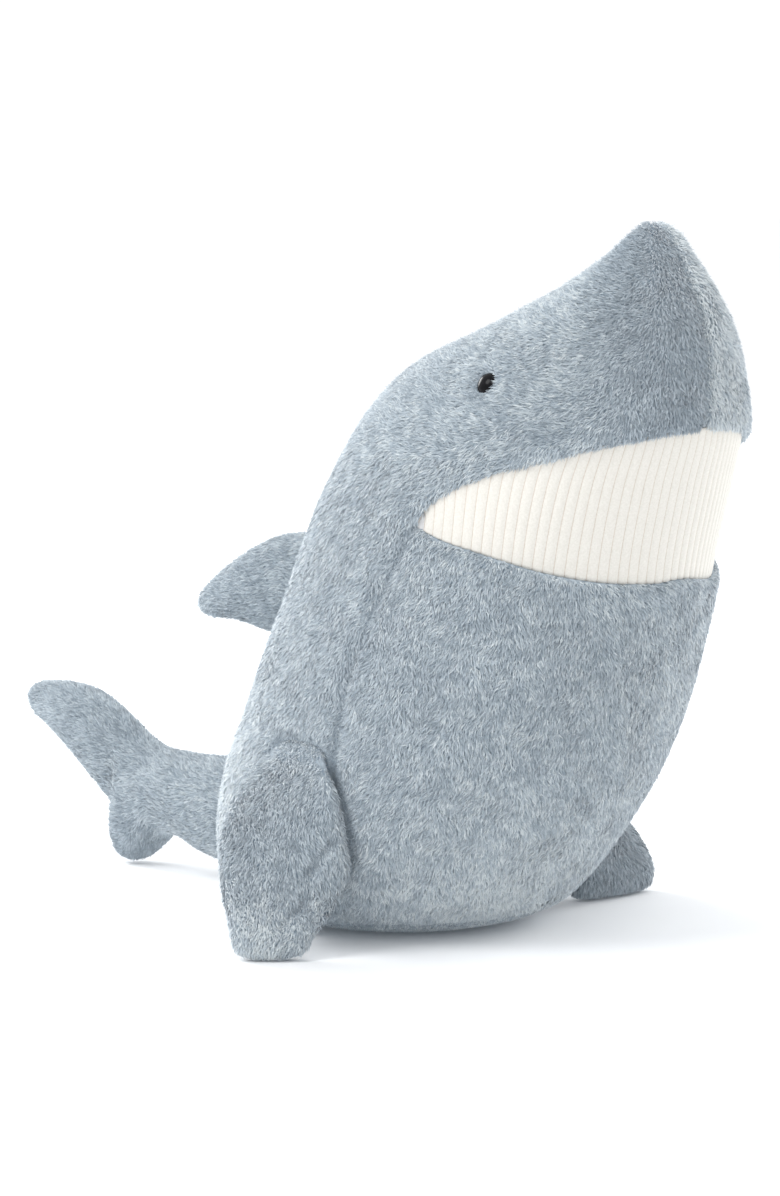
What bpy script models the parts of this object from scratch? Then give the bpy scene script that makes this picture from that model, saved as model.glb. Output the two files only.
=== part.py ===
"""A sitting plush shark with a ribbed mouth, as its sewn cloth panels, fillings and eyes.

Blender's units are metres; the sizes here are in millimetres. The shark faces -Y and rests on z = 0.
"Forward" is the distance ahead of the origin, so y = -forward. Angles round the body are in degrees
from straight ahead, positive towards +X, the shark's left.
"""

import math

import bmesh
import bpy
import numpy as np
from mathutils import Matrix, Vector

MM = 0.001

# Cloth, seams and filling
FUR = 2.5
RIB = 1.3
MOUTH_DEPTH = 1.6
SEAM = 0.6
FILL_DEPTH = 3.7
BASE_SEAM = 5.3

# Body sections: height, front and back edge (forward), half width, forward place of the widest point
BODY = np.array(
    (
        (0, 8, -80, 44, -36),
        (4, 20, -95, 57, -37),
        (14, 32.5, -105, 67, -34),
        (32, 49.5, -106, 74, -27),
        (58, 69, -99, 79, -15),
        (88, 85, -84, 80, 0),
        (118, 95, -69, 79, 13),
        (148, 104, -56, 76, 25),
        (175, 115, -43, 71, 36),
        (196, 124, -30, 63, 46),
        (215, 124.5, -8, 53, 58),
        (232, 122.5, 33, 39.5, 73),
        (246, 116.5, 62.5, 27, 86),
        (258, 108.5, 80.5, 16.5, 93),
        (266, 102.5, 90.5, 9.5, 95.5),
        (270, 96, 96, 0, 96),
    ),
    float,
)
HEIGHT, FRONT, BACK, HALF_WIDTH, WIDEST = range(5)

# Seams on the body: degrees from straight ahead, and height
SIDE_SEAM = ((78, 5), (78, 72), (82, 100), (81, 130), (78.5, 161))
UPPER_LIP = (
    (78.5, 161),
    (77.5, 169),
    (73, 175),
    (62, 181.5),
    (48, 187),
    (30, 192.5),
    (15, 195.2),
    (0, 196),
)
LOWER_LIP = ((78.5, 161), (71.5, 157.4), (54.5, 151), (37, 144.5), (19, 140), (0, 138))
MOUTH_CORNER = 77

# Eyes: a domed bead on a shank, locked inside the cloth by a washer
EYE_ANGLE, EYE_HEIGHT = 84, 213
BEAD_RADIUS, BEAD_DOME = 4.2, 3.4
BEAD_SEAT = 1.7
SHANK_RADIUS, SHANK_END, SHANK_CHAMFER = 1.6, 12, 0.5
WASHER_RADIUS, WASHER_TOP, WASHER_THICK = 5, 3.4, 1.4
EYE_GAP = 0.4
DRILL_START = -3

# Bean pouch, an oval bag on the base: centre (forward), half length, half width
POUCH_CENTRE, POUCH_LENGTH, POUCH_WIDTH = -38, 40, 46
# Height, and share of the full length and width
POUCH_SHAPE = ((3.1, 0.8), (4.2, 0.92), (8, 0.99), (14, 1), (20, 0.93), (25, 0.74), (28, 0.45), (29, 0.17))
POUCH_CLOTH, POUCH_GAP = 0.8, 1
BEANS_GAP, BEANS_LOW, BEANS_HIGH = 1.5, 1.4, 2.6

# Fins and tail. Each row is a chord across the part, from seam to seam: where its leading and trailing
# ends are, the half thickness to the left or outer side, to the right or inner side, and how far the
# hollow stays inside the trailing end.
# Dorsal fin and tail lie in the middle plane: forward and height of both ends.
DORSAL_FIN = (
    (-61.5, 144, -83, 97, 2, 2, 3),
    (-72, 145, -91, 98, 7, 7, 3),
    (-89, 143, -103, 100.5, 10, 10, 3),
    (-104, 140.5, -113, 102, 11.5, 11.5, 3),
    (-119, 134.5, -121.5, 103.5, 11.5, 11.5, 3),
    (-131, 127.8, -130.5, 104.5, 10.5, 10.5, 3),
    (-141, 121, -139, 104.3, 9, 9, 3),
    (-147.2, 115.8, -145.5, 105, 7, 7, 3),
    (-150, 111.3, -149, 107.5, 3, 3, 3),
)
TAIL = (
    (-108.2, 51, -108.2, 6, 3, 3, 3),
    (-110, 51, -110, 5.5, 7.5, 7.5, 3),
    (-114, 51, -114, 5, 12, 12, 3),
    (-122, 51, -122, 6, 14.8, 14.8, 3),
    (-135, 50.3, -135, 7.5, 15.5, 15.5, 3),
    (-148, 49.3, -148, 10, 15.5, 15.5, 3),
    (-160, 49, -161, 14, 15, 15, 3),
    (-168, 49.2, -171, 13.5, 14, 14, 5),
    (-173, 49.5, -183, 5.5, 13.5, 13.5, 9),
    (-178, 50.3, -192, 0.9, 13, 13, 12),
    (-183, 52, -199.5, 0.9, 12.5, 12.5, 14),
    (-188, 54.3, -203.5, 6, 12.5, 12.5, 14),
    (-193, 57.2, -201.5, 13, 12.5, 12.5, 12),
    (-199, 60.3, -201, 20, 12.5, 12.5, 6),
    (-208, 64.3, -208, 25, 12.5, 12.5, 3),
    (-222, 69, -218.5, 32.5, 12, 12, 3),
    (-234, 70, -230.5, 40.5, 11, 11, 3),
    (-245, 69.3, -242.5, 48.5, 9.5, 9.5, 3),
    (-253.5, 67.5, -252, 55, 7, 7, 3),
    (-257, 64, -257, 60, 3, 3, 3),
)
# A pectoral fin hangs from the side seam and flares out backwards: height, then distance out and forward
# of both ends.
PECTORAL_FIN = (
    (72.4, 82.6, 5, 82.2, -26, 2, 1.4, 3),
    (66, 82.8, 10, 86.6, -28.5, 4.6, 3.2, 3),
    (58, 80, 12.5, 90.8, -28.5, 7, 3.2, 3),
    (50, 76.8, 12.3, 96.2, -28, 8.6, 4.2, 3),
    (41, 73.4, 11.5, 101.8, -25.5, 9.6, 5.8, 3),
    (32, 70.5, 10, 106, -21.5, 9.8, 7, 3),
    (24, 69.8, 8.3, 108.3, -17.5, 9.5, 7.6, 3),
    (16, 73.8, 8.5, 109.8, -13, 8.5, 7.4, 3),
    (8.5, 83, 8.5, 109.5, -11, 7.5, 6.5, 3),
    (3.5, 89, 7, 107.5, -10.5, 6, 5.2, 3),
    (1.2, 92, 5, 105.5, -9, 4.5, 4.2, 3),
)
HOLLOW = 2.6
STUFFING = 3.4

# Joints: the pectoral fin's root, by distance out and height, and the tail's, by forward and height
PECTORAL_ROOT = (82.6, 72.6)
TAIL_PIVOT = (-123.5, 28)

# How finely the round shapes are divided
ROUND_STEPS = 32
SIDE_POINTS, LIP_POINTS, SNOUT_POINTS = 11, 10, 9
BACK_STEPS, BELLY_STEPS, MOUTH_STEPS = 12, 18, 20
FILLING_RINGS = 22
FIN_STEPS = 7
FIN_CHORDS, TAIL_CHORDS = 12, 21
EYE_STEPS = 16


# ---------------------------------------------------------------- scene and materials


def clear_scene():
    for obj in list(bpy.data.objects):
        bpy.data.objects.remove(obj)


def new_collection(name):
    collection = bpy.data.collections.new(name)
    bpy.context.scene.collection.children.link(collection)
    return collection


def new_material(name, colour, roughness):
    material = bpy.data.materials.new(name)
    material.use_nodes = True
    shader = material.node_tree.nodes["Principled BSDF"]
    shader.inputs["Base Color"].default_value = (*colour, 1)
    shader.inputs["Roughness"].default_value = roughness
    material.diffuse_color = (*colour, 1)
    return material


clear_scene()
SHARK = new_collection("plush_shark")
CUTTERS = new_collection("cutters")
BLUE_FUR = new_material("blue_grey_fur", (0.34, 0.40, 0.45), 0.95)
CREAM_RIB = new_material("cream_rib_cloth", (0.87, 0.83, 0.76), 0.9)
BLACK_PLASTIC = new_material("black_eye_plastic", (0.01, 0.01, 0.012), 0.15)
WHITE_PLASTIC = new_material("white_washer_plastic", (0.85, 0.85, 0.85), 0.5)
WHITE_FIBRE = new_material("white_filling_fibre", (0.9, 0.9, 0.9), 1.0)
POUCH_FABRIC = new_material("pouch_cloth", (0.8, 0.79, 0.75), 0.9)
BEAN_PLASTIC = new_material("bean_plastic", (0.75, 0.75, 0.75), 0.6)


# ---------------------------------------------------------------- curves and the body surface


def smooth(knots, values, at):
    """Values at the given places of a smooth curve through (knots, values)."""
    knots = np.asarray(knots, float)
    values = np.asarray(values, float)
    step = np.diff(knots)
    rise = np.diff(values) / step
    between = (step[1:] * rise[:-1] + step[:-1] * rise[1:]) / (step[1:] + step[:-1])
    slope = np.concatenate([rise[:1], between, rise[-1:]])
    i = np.clip(np.searchsorted(knots, at, side="right") - 1, 0, len(knots) - 2)
    x = (at - knots[i]) / step[i]
    ends = (2 * x**3 - 3 * x**2 + 1) * values[i] + (3 * x**2 - 2 * x**3) * values[i + 1]
    return ends + step[i] * ((x**3 - 2 * x**2 + x) * slope[i] + (x**3 - x**2) * slope[i + 1])


def lengths(points):
    """Distance along a chain of points, starting at 0."""
    return np.concatenate([[0], np.cumsum(np.linalg.norm(np.diff(points, axis=0), axis=1))])


def body_table():
    """The body's rows carried on over the nose tip as their mirror image, and the distance up them."""
    beyond = BODY[[-2, -3]]
    beyond[:, [FRONT, BACK]] = beyond[:, [BACK, FRONT]]
    beyond[:, HALF_WIDTH] *= -1
    beyond[:, WIDEST] = 2 * BODY[-1, WIDEST] - beyond[:, WIDEST]
    rows = np.vstack([BODY, beyond])
    radius = (rows[:, FRONT] - rows[:, BACK] + 2 * rows[:, HALF_WIDTH]) / 4
    return rows, lengths(np.column_stack([rows[:, HEIGHT], radius]))


ROWS, UP = body_table()
TOP = UP[len(BODY) - 1]
FINE = np.linspace(0, TOP, 3000)
FINE_HEIGHT = np.maximum.accumulate(smooth(UP, ROWS[:, HEIGHT], FINE))


def up_at(height):
    """Distance up the body's surface at this height."""
    return np.interp(height, FINE_HEIGHT, FINE)


def surface(up, angle):
    """Point of the body's outer surface, in millimetres."""
    up, angle = np.broadcast_arrays(np.asarray(up, float), np.radians(angle))
    height, front, back, half, widest = (smooth(UP, ROWS[:, k], up) for k in range(5))
    reach = np.where(np.cos(angle) >= 0, front - widest, widest - back)
    return np.stack([half * np.sin(angle), -widest - reach * np.cos(angle), height], -1)


def body_point(up, angle, depth=0.0):
    """Point at this depth below the body's outer surface, in millimetres, and the outward normal."""
    step_up, step_angle = 0.3, 0.5
    along = surface(up + step_up, angle) - surface(up - step_up, angle)
    across = surface(up, angle + step_angle) - surface(up, angle - step_angle)
    normal = np.cross(across, along)
    normal /= np.linalg.norm(normal, axis=-1, keepdims=True)
    return surface(up, angle) - normal * depth, normal


def along_seam(points, count):
    """(angle, distance up) at evenly spaced places of a smooth curve through a seam's points."""
    points = np.asarray(points, float)
    travel = lengths(points)
    at = np.linspace(0, travel[-1], count)
    return np.column_stack([smooth(travel, points[:, 0], at), up_at(smooth(travel, points[:, 1], at))])


def side_seam():
    """(angle, distance up) of the side seam's points, from the base seam to the mouth corner."""
    seam = along_seam(SIDE_SEAM, SIDE_POINTS)
    seam[0, 1] = up_at(BASE_SEAM)
    return seam


def lip_up(lip, angle):
    """Distance up the body at which a lip stands, by angle from straight ahead."""
    points = np.asarray(lip, float)[::-1]
    return up_at(np.interp(np.abs(angle), points[:, 0], points[:, 1]))


# ---------------------------------------------------------------- mesh helpers


def add_object(name, bm, material, collection=SHARK):
    mesh = bpy.data.meshes.new(name)
    bm.to_mesh(mesh)
    bm.free()
    mesh.materials.append(material)
    mesh.shade_smooth()
    mesh.set_sharp_from_angle(angle=math.radians(40))
    obj = bpy.data.objects.new(name, mesh)
    collection.objects.link(obj)
    return obj


def cutter(name, bm):
    obj = add_object(name, bm, BLUE_FUR, CUTTERS)
    obj.hide_render = True
    obj.display_type = "WIRE"
    return obj


def cut(obj, tool):
    modifier = obj.modifiers.new("cut_" + tool.name, "BOOLEAN")
    modifier.operation = "DIFFERENCE"
    modifier.object = tool


def thicken(obj, thickness):
    """Gives an open surface this thickness, inwards from its outer face."""
    modifier = obj.modifiers.new("cloth", "SOLIDIFY")
    modifier.thickness = thickness * MM
    modifier.offset = -1


def trimmed(points):
    """The grid of points with each border drawn in by half a seam gap."""
    points = points.copy()
    for grid in (points, points.swapaxes(0, 1)):
        for edge, inner in ((0, 1), (-1, -2)):
            inwards = grid[inner] - grid[edge]
            grid[edge] += inwards / np.linalg.norm(inwards, axis=-1, keepdims=True) * SEAM / 2
    return points


def sheet_mesh(points, centre):
    """An open surface from a grid of points, facing away from the centre."""
    bm = bmesh.new()
    rows = [[bm.verts.new(p * MM) for p in row] for row in points]
    for low, high in zip(rows, rows[1:]):
        for k in range(len(low) - 1):
            bm.faces.new((low[k], low[k + 1], high[k + 1], high[k]))
    bmesh.ops.remove_doubles(bm, verts=bm.verts, dist=SEAM / 10 * MM)
    bm.normal_update()
    middle = Vector(centre) * MM
    if sum((f.calc_center_median() - middle).dot(f.normal) for f in bm.faces) < 0:
        bmesh.ops.reverse_faces(bm, faces=bm.faces)
    return bm


def loft_mesh(rings, close_top=True):
    """A tube through rings of points in millimetres, closed by a flat face at each end."""
    bm = bmesh.new()
    loops = [[bm.verts.new(p * MM) for p in ring] for ring in rings]
    for low, high in zip(loops, loops[1:]):
        for k in range(len(low)):
            n = (k + 1) % len(low)
            bm.faces.new((low[k], low[n], high[n]))
            bm.faces.new((low[k], high[n], high[k]))
    bm.faces.new(loops[0][::-1])
    if close_top:
        bm.faces.new(loops[-1])
    bm.normal_update()
    if bm.calc_volume(signed=True) < 0:
        bmesh.ops.reverse_faces(bm, faces=bm.faces)
    return bm


def oval_ring(height, half_length, half_width, centre):
    turn = np.linspace(0, 2 * np.pi, ROUND_STEPS, endpoint=False)
    across, along = half_width * np.sin(turn), half_length * np.cos(turn)
    return np.column_stack([across, -centre - along, np.full(ROUND_STEPS, height)])


# ---------------------------------------------------------------- body panels

BODY_MIDDLE = (0, -20, 120)


def half_space(name, side):
    """A block that cuts away all that is on one side of the middle seam."""
    width, length, height = 200, 500, 600
    block = Matrix.Diagonal((width * MM, length * MM, height * MM, 1))
    block.translation.x = side * (width / 2 - SEAM / 2) * MM
    bm = bmesh.new()
    bmesh.ops.create_cube(bm, size=1, matrix=block)
    return cutter(name, bm)


def back_panel(name, side):
    """One side of head and back: spine seam behind, side seam, upper lip and snout seam in front."""
    front = np.vstack(
        [
            side_seam()[:-1],
            along_seam(UPPER_LIP, LIP_POINTS)[:-1],
            [(0, up) for up in np.linspace(up_at(UPPER_LIP[-1][1]), TOP, SNOUT_POINTS)],
        ]
    )
    spine_up = np.linspace(up_at(BASE_SEAM), TOP, len(front))
    share = np.linspace(0, 1, BACK_STEPS + 1)
    angle = 180 + (front[:, :1] - 180) * share
    up = spine_up[:, None] + (front[:, 1:] - spine_up[:, None]) * share
    points = trimmed(surface(up, side * angle))
    points[:, 0, 0] = 0
    points[-SNOUT_POINTS:, -1, 0] = 0
    points[-1] = surface(TOP, 0)
    obj = add_object(name, sheet_mesh(points, BODY_MIDDLE), BLUE_FUR)
    thicken(obj, FUR)
    cut(obj, half_space(name + "_far_side", -side))
    return obj


def belly_panel():
    """The bib from the lower lip down to the base, between the side seams."""
    seam = side_seam()
    bottom = seam[0, 1]
    share = ((seam[:, 1] - bottom) / (seam[-1, 1] - bottom))[:, None]
    across = np.linspace(-1, 1, BELLY_STEPS + 1)
    angle = across * seam[:, :1]
    up = bottom + share * (lip_up(LOWER_LIP, across * seam[-1, 0]) - bottom)
    obj = add_object("belly_panel", sheet_mesh(trimmed(surface(up, angle)), BODY_MIDDLE), BLUE_FUR)
    thicken(obj, FUR)


def mouth_panel():
    """Ribbed cloth between the lips, set back below the fur."""
    angle = np.linspace(-MOUTH_CORNER, MOUTH_CORNER, MOUTH_STEPS + 1)
    low, high = lip_up(LOWER_LIP, angle) + SEAM, lip_up(UPPER_LIP, angle) - SEAM
    share = np.linspace(0, 1, 5)[:, None]
    points, _ = body_point(low + share * (high - low), angle + 0 * share, MOUTH_DEPTH)
    obj = add_object("mouth_panel", sheet_mesh(trimmed(points), BODY_MIDDLE), CREAM_RIB)
    thicken(obj, RIB)


def base_panel():
    """The oval sole with its turned-up edge. Its flat is what the shark rests on."""
    turn = np.linspace(0, 360, ROUND_STEPS, endpoint=False)
    ups = np.linspace(0, up_at(BASE_SEAM - SEAM), 4)
    rings = [surface(up, turn) for up in ups]
    thicken(add_object("base_panel", loft_mesh(rings, close_top=False), BLUE_FUR), FUR)


# ---------------------------------------------------------------- filling and pouch


def body_stuffing():
    turn = np.linspace(0, 360, ROUND_STEPS, endpoint=False)
    ups = np.linspace(0, TOP - FILL_DEPTH - EYE_GAP, FILLING_RINGS)
    rings = [body_point(up, turn, FILL_DEPTH)[0] for up in ups]
    return add_object("body_stuffing", loft_mesh(rings), WHITE_FIBRE)


def pouch_rings(grow, low, high):
    """The pouch's rings grown sideways by this much, between two heights."""
    heights, shares = np.array(POUCH_SHAPE).T
    heights = low + (heights - heights[0]) * (high - low) / (heights[-1] - heights[0])
    return [
        oval_ring(height, POUCH_LENGTH * share + grow, POUCH_WIDTH * share + grow, POUCH_CENTRE)
        for height, share in zip(heights, shares)
    ]


def bean_pouch(stuffing):
    """The bag of beans, open at the top of its neck, and its space in the body's filling."""
    low, high = POUCH_SHAPE[0][0], POUCH_SHAPE[-1][0]
    bag = loft_mesh(pouch_rings(0, low, high), close_top=False)
    thicken(add_object("bean_pouch", bag, POUCH_FABRIC), POUCH_CLOTH)
    beans = loft_mesh(pouch_rings(-BEANS_GAP, low + BEANS_LOW, high - BEANS_HIGH))
    add_object("bean_fill", beans, BEAN_PLASTIC)
    space = loft_mesh(pouch_rings(POUCH_GAP, low - 2 * POUCH_GAP, high + 1.4 * POUCH_GAP))
    cut(stuffing, cutter("pouch_space", space))


# ---------------------------------------------------------------- eyes


def turned(name, profile, frame, material, closed=False):
    """A profile of (radius, depth) turned about an axis that points out of the body."""
    bm = bmesh.new()
    points = [bm.verts.new((radius * MM, 0, -depth * MM)) for radius, depth in profile]
    for a, b in zip(points, points[1:]):
        bm.edges.new((a, b))
    if closed:
        bm.edges.new((points[-1], points[0]))
    obj = add_object(name, bm, material)
    obj.matrix_world = frame
    screw = obj.modifiers.new("turn", "SCREW")
    screw.steps = screw.render_steps = EYE_STEPS
    screw.use_merge_vertices = True
    screw.merge_threshold = 0.00001
    return obj


def drill(name, frame, radius, end):
    """A cutting cylinder on an eye's axis, from outside the fur to this depth below it."""
    bm = bmesh.new()
    middle = Matrix.Translation((0, 0, -(DRILL_START + end) / 2 * MM))
    bmesh.ops.create_cone(
        bm,
        cap_ends=True,
        segments=EYE_STEPS,
        radius1=radius * MM,
        radius2=radius * MM,
        depth=(end - DRILL_START) * MM,
        matrix=frame @ middle,
    )
    return cutter(name, bm)


def eye(side_name, side, panel, stuffing):
    """One eye bead on its shank, the washer that locks it, and the holes for them."""
    point, normal = body_point(up_at(EYE_HEIGHT), side * EYE_ANGLE)
    turn = Vector(normal).to_track_quat("Z", "Y").to_matrix().to_4x4()
    frame = Matrix.Translation(point * MM) @ turn
    bend = np.radians(np.linspace(0, 90, 5))
    dome = list(zip(BEAD_RADIUS * np.sin(bend), BEAD_SEAT - BEAD_DOME * np.cos(bend)))
    shank = [
        (SHANK_RADIUS, BEAD_SEAT),
        (SHANK_RADIUS, SHANK_END - SHANK_CHAMFER),
        (SHANK_RADIUS - SHANK_CHAMFER, SHANK_END),
        (0, SHANK_END),
    ]
    turned(f"eye_{side_name}", dome + shank, frame, BLACK_PLASTIC)
    low = WASHER_TOP + WASHER_THICK
    hole = SHANK_RADIUS + EYE_GAP / 2
    washer = [(WASHER_RADIUS, WASHER_TOP), (WASHER_RADIUS, low), (hole, low), (hole, WASHER_TOP)]
    turned(f"eye_washer_{side_name}", washer, frame, WHITE_PLASTIC, closed=True)
    cut(panel, drill(f"eye_seat_{side_name}", frame, BEAD_RADIUS + EYE_GAP, BEAD_SEAT + EYE_GAP / 2))
    cut(panel, drill(f"eye_hole_{side_name}", frame, SHANK_RADIUS + EYE_GAP, low))
    cut(stuffing, drill(f"washer_space_{side_name}", frame, WASHER_RADIUS + EYE_GAP, low + EYE_GAP))
    cut(stuffing, drill(f"shank_space_{side_name}", frame, SHANK_RADIUS + EYE_GAP, SHANK_END + EYE_GAP))


# ---------------------------------------------------------------- fins and tail


def flat_rows(table):
    """Chords of a part in the middle plane, with both ends as points."""
    table = np.asarray(table, float)
    middle = np.zeros(len(table))
    lead, trail = (middle, -table[:, 0], table[:, 1]), (middle, -table[:, 2], table[:, 3])
    return np.column_stack([*lead, *trail, table[:, 4:]])


def hanging_rows(table, side):
    """Chords of a pectoral fin, each at one height, with both ends as points."""
    table = np.asarray(table, float)
    height = table[:, 0]
    lead = (side * table[:, 1], -table[:, 2], height)
    trail = (side * table[:, 3], -table[:, 4], height)
    return np.column_stack([*lead, *trail, table[:, 5:]])


def even_rows(rows, count):
    """The chords at evenly spaced places along the part."""
    travel = lengths((rows[:, 0:3] + rows[:, 3:6]) / 2)
    at = np.linspace(0, travel[-1], count)
    return np.column_stack([smooth(travel, column, at) for column in rows.T])


def section(row, axis, inset, half):
    """Ring of points round one chord, or over one side of it if half is 1 or -1.

    The thickness is square to the chord and to the axis.
    """
    lead, trail, left, right, end_inset = row[0:3], row[3:6], *row[6:9]
    inwards = (trail - lead) / np.linalg.norm(trail - lead)
    out = np.cross(inwards, axis)
    out /= np.linalg.norm(out)
    lead = lead + inwards * inset
    if inset:
        trail = trail - inwards * (end_inset + inset - HOLLOW)
    if half:
        turn = np.concatenate([np.linspace(0, np.pi, FIN_STEPS + 1), np.pi * np.array((1.25, 1.5, 1.75))])
        most = left if half > 0 else right
        thick = half * (SEAM / 2 + (most - SEAM / 2) * np.maximum(np.sin(turn), 0))
    else:
        turn = np.linspace(0, 2 * np.pi, 2 * FIN_STEPS, endpoint=False)
        thick = np.where(np.sin(turn) > 0, left - inset, right - inset) * np.sin(turn)
    place = (lead + trail) / 2 + (lead - trail) / 2 * np.cos(turn)[:, None]
    return place + thick[:, None] * out


def stuffed_part(name, names, rows, axis, pivot):
    """Two cloth sides sewn round a filling."""
    hollow_rings = [section(row, axis, HOLLOW, 0) for row in rows[1:-1]]
    first, third = (section(rows[k], axis, 0, 0).mean(axis=0) for k in (0, 2))
    hollow = cutter(name + "_hollow", loft_mesh([hollow_rings[0] + first - third, *hollow_rings]))
    for half_name, half in zip(names, (1, -1)):
        cloth = loft_mesh([section(row, axis, 0, half) for row in rows])
        side = add_object(name + half_name, cloth, BLUE_FUR)
        cut(side, hollow)
        hang_on(side, pivot)
    filling = loft_mesh([section(row, axis, STUFFING, 0) for row in rows[1:-1]])
    hang_on(add_object(name + "_stuffing", filling, WHITE_FIBRE), pivot)
    hang_on(hollow, pivot)


def new_pivot(name, place):
    empty = bpy.data.objects.new(name, None)
    empty.location = Vector(place) * MM
    SHARK.objects.link(empty)
    return empty


def hang_on(obj, pivot):
    """Parents an object to its joint, with its own origin there."""
    obj.data.transform(Matrix.Translation(-pivot.location))
    obj.parent = pivot


# ---------------------------------------------------------------- the shark


def build_shark():
    filling = body_stuffing()
    belly_panel()
    mouth_panel()
    base_panel()
    bean_pouch(filling)
    for side_name, side in (("right", -1), ("left", 1)):
        panel = back_panel(f"back_panel_{side_name}", side)
        eye(side_name, side, panel, filling)
        shoulder = new_pivot(f"pectoral_{side_name}_pivot", (side * PECTORAL_ROOT[0], 0, PECTORAL_ROOT[1]))
        rows = even_rows(hanging_rows(PECTORAL_FIN, side), FIN_CHORDS)
        stuffed_part(f"pectoral_fin_{side_name}", ("_outer", "_inner"), rows, (0, 0, side), shoulder)
    rows = even_rows(flat_rows(DORSAL_FIN), FIN_CHORDS)
    spine = new_pivot("dorsal_pivot", (rows[0, 0:3] + rows[0, 3:6]) / 2)
    stuffed_part("dorsal_fin", ("_left", "_right"), rows, (0, 1, 0), spine)
    rump = new_pivot("tail_pivot", (0, -TAIL_PIVOT[0], TAIL_PIVOT[1]))
    rows = even_rows(flat_rows(TAIL), TAIL_CHORDS)
    stuffed_part("tail", ("_left", "_right"), rows, (0, 1, 0), rump)


build_shark()
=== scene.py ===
import math

import bpy
import numpy as np
from mathutils import Matrix, Vector
from mathutils.kdtree import KDTree


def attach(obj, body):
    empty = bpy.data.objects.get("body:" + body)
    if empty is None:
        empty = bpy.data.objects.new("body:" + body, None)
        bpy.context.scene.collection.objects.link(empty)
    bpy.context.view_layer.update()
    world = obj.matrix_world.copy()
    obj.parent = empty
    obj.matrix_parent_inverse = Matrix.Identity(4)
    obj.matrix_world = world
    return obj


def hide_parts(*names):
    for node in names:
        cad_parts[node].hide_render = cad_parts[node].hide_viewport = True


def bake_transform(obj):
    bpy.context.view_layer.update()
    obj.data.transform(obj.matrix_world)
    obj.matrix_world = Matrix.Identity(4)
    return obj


# The looks of the sitting plush shark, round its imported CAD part. Sizes are in millimetres unless a
# name says otherwise. "Forward" is the distance ahead of the origin, so y = -forward. Angles round the
# body are in degrees from straight ahead, positive towards the shark's left. Pairs handed to ramp say
# where a change starts and where it is complete.

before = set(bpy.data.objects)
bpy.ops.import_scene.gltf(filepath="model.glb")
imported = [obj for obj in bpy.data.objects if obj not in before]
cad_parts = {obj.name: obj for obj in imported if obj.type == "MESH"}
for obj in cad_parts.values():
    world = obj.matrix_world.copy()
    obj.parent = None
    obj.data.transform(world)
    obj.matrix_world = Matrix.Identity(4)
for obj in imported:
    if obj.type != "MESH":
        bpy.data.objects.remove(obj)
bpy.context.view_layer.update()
rng = np.random.default_rng(7)

MM = 0.001

# Body sections, as in the CAD: height, front and back edge (forward), half width, place of widest point
BODY = np.array(
    (
        (0, 8, -80, 44, -36),
        (4, 20, -95, 57, -37),
        (14, 32.5, -105, 67, -34),
        (32, 49.5, -106, 74, -27),
        (58, 69, -99, 79, -15),
        (88, 85, -84, 80, 0),
        (118, 95, -69, 79, 13),
        (148, 104, -56, 76, 25),
        (175, 115, -43, 71, 36),
        (196, 124, -30, 63, 46),
        (215, 124.5, -8, 53, 58),
        (232, 122.5, 33, 39.5, 73),
        (246, 116.5, 62.5, 27, 86),
        (258, 108.5, 80.5, 16.5, 93),
        (266, 102.5, 90.5, 9.5, 95.5),
        (270, 96, 96, 0, 96),
    ),
    float,
)
HEIGHT, FRONT, BACK, HALF_WIDTH, WIDEST = range(5)

# Seams on the body, as in the CAD: degrees from straight ahead, and height
BASE_SEAM = 5.3
MOUTH_CORNER = (78.5, 161)
SIDE_SEAM = ((78, BASE_SEAM), (78, 72), (82, 100), (81, 130), MOUTH_CORNER)
UPPER_LIP = (
    MOUTH_CORNER,
    (77.5, 169),
    (73, 175),
    (62, 181.5),
    (48, 187),
    (30, 192.5),
    (15, 195.2),
    (0, 196),
)
LOWER_LIP = (MOUTH_CORNER, (71.5, 157.4), (54.5, 151), (37, 144.5), (19, 140), (0, 138))
# The lower lip hangs lower on the left: by how much, and the angles where that starts, is full, starts
# to lessen, and ends
LIP_DROOP = 10
LIP_DROOP_ANGLES = (6, 46, 54, MOUTH_CORNER[0])

# The cover: how deep its cloth lies below the CAD's outer face, the cloth's thickness, and how deep and
# how wide it is pulled in at seams, lips and eyes and pressed in along the fins
SKIN_DEPTH = 1.3
CLOTH = 0.7
SEAM_DIP, SEAM_SPREAD = 1.5, 3.4
LIP_DIP, LIP_SPREAD = 2.2, 2.8
EYE_DIP, EYE_SPREAD = 1.5, 7
PRESS_DIP, PRESS_SPREAD = 1.0, 2
# Seams are pulled in less by this share towards the nose tip, between these heights
NOSE_EASE, NOSE_HEIGHTS = 0.7, (246, 266)
# The filling's lumps are this wide, and 1 mm from low to high
LUMP_SIZE = 26
SOLE_HEIGHT = 1.0
# The body's surface is worked out up to this far from the nose tip, where it closes
TIP_GAP = 0.8

# Ribbed mouth cloth: depth below the body's surface, thickness, and rows of its grid, then how far apart
# and how high the ribs are, and the columns of the grid in each
MOUTH_DEPTH, MOUTH_CLOTH, MOUTH_ROWS = 3.3, 0.4, 40
RIB_PITCH, RIB_HEIGHT, RIB_STEPS = 4.2, 0.55, 12
# How the ribs lean: degrees round the body for each millimetre up, by place round the body
RIB_LEAN = ((-78, -0.33), (-60, -0.24), (-40, -0.15), (40, -0.12), (60, 0.1), (78, 0.33))

# Pile: locks to a square millimetre, the length and width of one lock, and how both vary
DENSITY = 4.0
LOCK_LENGTH, LOCK_WIDTH = 2.9, 0.42
LOCK_SIZES = (0.7, 1.25)
# A lock starts below the cloth, rises, bends over partway along, and lies lower from there. Rise and
# lie are in degrees, as mean and spread. Its roll about itself is in radians.
LOCK_ROOT, LOCK_BEND = 0.5, 0.42
LOCK_RISE, LOCK_LIE, LOCK_ROLL = (46, 8), (17, 9), 0.45
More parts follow.
